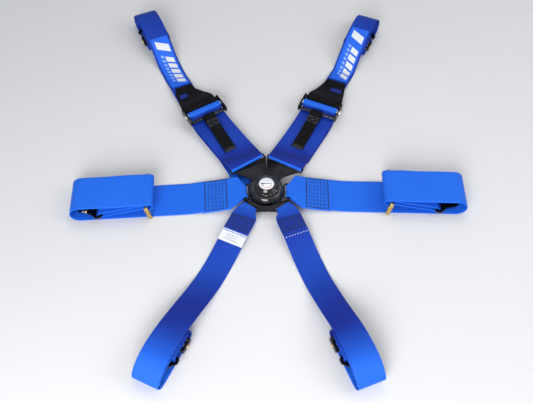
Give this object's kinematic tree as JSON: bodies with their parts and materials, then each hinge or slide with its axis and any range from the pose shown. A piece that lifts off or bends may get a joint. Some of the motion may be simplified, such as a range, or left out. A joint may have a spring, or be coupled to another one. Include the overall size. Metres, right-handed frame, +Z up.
{
  "type": "racing harness",
  "caption": "Webbing racing harness laid out flat: rotary quick-release buckle, shoulder, lap and crotch straps with tilt-lock adjusters, each rolled up round its snap hook.",
  "frame": {"origin": "middle of the buckle's flat back pad, on the surface the harness lies on", "axes": "+Z up, +Y from the buckle towards the shoulder straps, +X towards the right-hand lap strap as pictured"},
  "size_m": [0.7724, 0.9511, 0.0487],
  "materials": {
    "blue_webbing": "woven polyester",
    "patch_fabric": "embroidered twill",
    "black_webbing": "woven polyester",
    "label_fabric": "printed satin ribbon",
    "black_plastic": "moulded gloss",
    "black_steel": "black plated, glossy",
    "yellow_zinc": "yellow zinc plated",
    "bright_steel": "bright",
    "rubber_pad": "matt",
    "badge": "printed disc"
  },
  "bodies": {
    "buckle": {"back_pad": "rubber_pad", "base_plate": "black_steel", "housing": "black_plastic", "centre_post": "bright_steel", "latch_star": "bright_steel", "return_spring": "bright_steel", "left_lap_tongue": "black_steel", "left_lap_webbing": "blue_webbing", "left_lap_hook_loop": "blue_webbing", "left_lap_hook": "black_steel"},
    "knob": {"knob": "black_plastic", "knob_label": "badge", "cam_ring": "bright_steel"},
    "left_lap_adjuster": {"left_lap_adjuster_frame": "yellow_zinc", "left_lap_adjuster_bar": "yellow_zinc"},
    "right_lap_strap": {"right_lap_tongue": "black_steel", "right_lap_webbing": "blue_webbing", "right_lap_hook_loop": "blue_webbing", "right_lap_hook": "black_steel"},
    "right_lap_adjuster": {"right_lap_adjuster_frame": "yellow_zinc", "right_lap_adjuster_bar": "yellow_zinc"},
    "crotch_straps": {"crotch_tongue": "black_steel", "left_crotch_webbing": "blue_webbing", "care_label": "label_fabric", "left_crotch_slide_frame": "black_steel", "left_crotch_slide_bar": "yellow_zinc", "left_crotch_hook": "black_steel", "right_crotch_webbing": "blue_webbing", "right_crotch_slide_frame": "black_steel", "right_crotch_slide_bar": "yellow_zinc", "right_crotch_hook": "black_steel"},
    "left_shoulder_strap": {"left_shoulder_tongue": "black_steel", "left_shoulder_lower_webbing": "blue_webbing", "left_shoulder_connector_webbing": "black_webbing", "left_shoulder_upper_webbing": "blue_webbing", "left_shoulder_patch": "patch_fabric", "left_shoulder_slide_frame": "black_steel", "left_shoulder_slide_bar": "yellow_zinc", "left_shoulder_hook": "black_steel"},
    "left_shoulder_adjuster": {"left_shoulder_adjuster_frame": "black_steel", "left_shoulder_adjuster_roller": "bright_steel"},
    "left_shoulder_tab": {"left_shoulder_release_tab": "black_webbing"},
    "right_shoulder_strap": {"right_shoulder_tongue": "black_steel", "right_shoulder_lower_webbing": "blue_webbing", "right_shoulder_connector_webbing": "black_webbing", "right_shoulder_upper_webbing": "blue_webbing", "right_shoulder_patch": "patch_fabric", "right_shoulder_slide_frame": "black_steel", "right_shoulder_slide_bar": "yellow_zinc", "right_shoulder_hook": "black_steel"},
    "right_shoulder_adjuster": {"right_shoulder_adjuster_frame": "black_steel", "right_shoulder_adjuster_roller": "bright_steel"},
    "right_shoulder_tab": {"right_shoulder_release_tab": "black_webbing"},
    "left_shoulder_gate": {"left_shoulder_hook_gate": "yellow_zinc"},
    "right_shoulder_gate": {"right_shoulder_hook_gate": "yellow_zinc"},
    "left_lap_gate": {"left_lap_hook_gate": "yellow_zinc"},
    "right_lap_gate": {"right_lap_hook_gate": "yellow_zinc"},
    "left_crotch_gate": {"left_crotch_hook_gate": "yellow_zinc"},
    "right_crotch_gate": {"right_crotch_hook_gate": "yellow_zinc"}
  },
  "joints": [
    {"name": "knob_turn", "type": "hinge", "parent": "buckle", "child": "knob", "pos_m": [0, 0, 0.03], "axis": [0, 0, 1], "range_deg": [0, 40], "stiffness_Nm_per_rad": 0.25},
    {"name": "left_shoulder_release", "type": "slide", "parent": "buckle", "child": "left_shoulder_strap", "axis": [-0.5664, 0.8241, 0], "range_m": [0, 0.035], "deforming": ["latch_star"]},
    {"name": "right_shoulder_release", "type": "slide", "parent": "buckle", "child": "right_shoulder_strap", "axis": [0.4818, 0.8763, 0], "range_m": [0, 0.035], "deforming": ["latch_star"]},
    {"name": "right_lap_release", "type": "slide", "parent": "buckle", "child": "right_lap_strap", "axis": [0.9997, -0.0262, 0], "range_m": [0, 0.035], "deforming": ["latch_star"]},
    {"name": "crotch_release", "type": "slide", "parent": "buckle", "child": "crotch_straps", "axis": [0, -1, 0], "range_m": [0, 0.035], "deforming": ["latch_star"]},
    {"name": "left_shoulder_adjuster_tilt", "type": "hinge", "parent": "left_shoulder_strap", "child": "left_shoulder_adjuster", "pos_m": [-0.1341, 0.21025, 0.024], "axis": [-0.848, -0.5299, 0], "range_deg": [0, 20]},
    {"name": "left_shoulder_tab_lift", "type": "hinge", "parent": "left_shoulder_adjuster", "child": "left_shoulder_tab", "pos_m": [-0.12334, 0.19304, 0.024], "axis": [-0.848, -0.5299, 0], "range_deg": [0, 60]},
    {"name": "left_lap_adjuster_tilt", "type": "hinge", "parent": "buckle", "child": "left_lap_adjuster", "pos_m": [-0.23044, -0.01611, 0.018], "axis": [0.0698, -0.9976, 0], "range_deg": [0, 5]},
    {"name": "right_shoulder_adjuster_tilt", "type": "hinge", "parent": "right_shoulder_strap", "child": "right_shoulder_adjuster", "pos_m": [0.11641, 0.21959, 0.024], "axis": [-0.9121, 0.4099, 0], "range_deg": [0, 20]},
    {"name": "right_shoulder_tab_lift", "type": "hinge", "parent": "right_shoulder_adjuster", "child": "right_shoulder_tab", "pos_m": [0.10809, 0.20108, 0.024], "axis": [-0.9121, 0.4099, 0], "range_deg": [0, 60]},
    {"name": "right_lap_adjuster_tilt", "type": "hinge", "parent": "right_lap_strap", "child": "right_lap_adjuster", "pos_m": [0.23892, -0.00626, 0.018], "axis": [0.0262, 0.9997, 0], "range_deg": [0, 5]},
    {"name": "left_shoulder_gate_swing", "type": "hinge", "parent": "left_shoulder_strap", "child": "left_shoulder_gate", "pos_m": [-0.29792, 0.49997, 0.017], "axis": [0, 0, -1], "range_deg": [0, 35], "stiffness_Nm_per_rad": 0.02},
    {"name": "right_shoulder_gate_swing", "type": "hinge", "parent": "right_shoulder_strap", "child": "right_shoulder_gate", "pos_m": [0.22695, 0.49349, 0.017], "axis": [0, 0, -1], "range_deg": [0, 35], "stiffness_Nm_per_rad": 0.02},
    {"name": "left_lap_gate_swing", "type": "hinge", "parent": "buckle", "child": "left_lap_gate", "pos_m": [-0.34955, -0.0487, 0.012], "axis": [0, 0, -1], "range_deg": [0, 35], "stiffness_Nm_per_rad": 0.02},
    {"name": "right_lap_gate_swing", "type": "hinge", "parent": "right_lap_strap", "child": "right_lap_gate", "pos_m": [0.35998, -0.00923, 0.012], "axis": [0, 0, -1], "range_deg": [0, 35], "stiffness_Nm_per_rad": 0.02},
    {"name": "left_crotch_gate_swing", "type": "hinge", "parent": "crotch_straps", "child": "left_crotch_gate", "pos_m": [-0.17353, -0.37328, 0.017], "axis": [0, 0, -1], "range_deg": [0, 35], "stiffness_Nm_per_rad": 0.02},
    {"name": "right_crotch_gate_swing", "type": "hinge", "parent": "crotch_straps", "child": "right_crotch_gate", "pos_m": [0.17167, -0.36523, 0.017], "axis": [0, 0, -1], "range_deg": [0, 35], "stiffness_Nm_per_rad": 0.02}
  ]
}
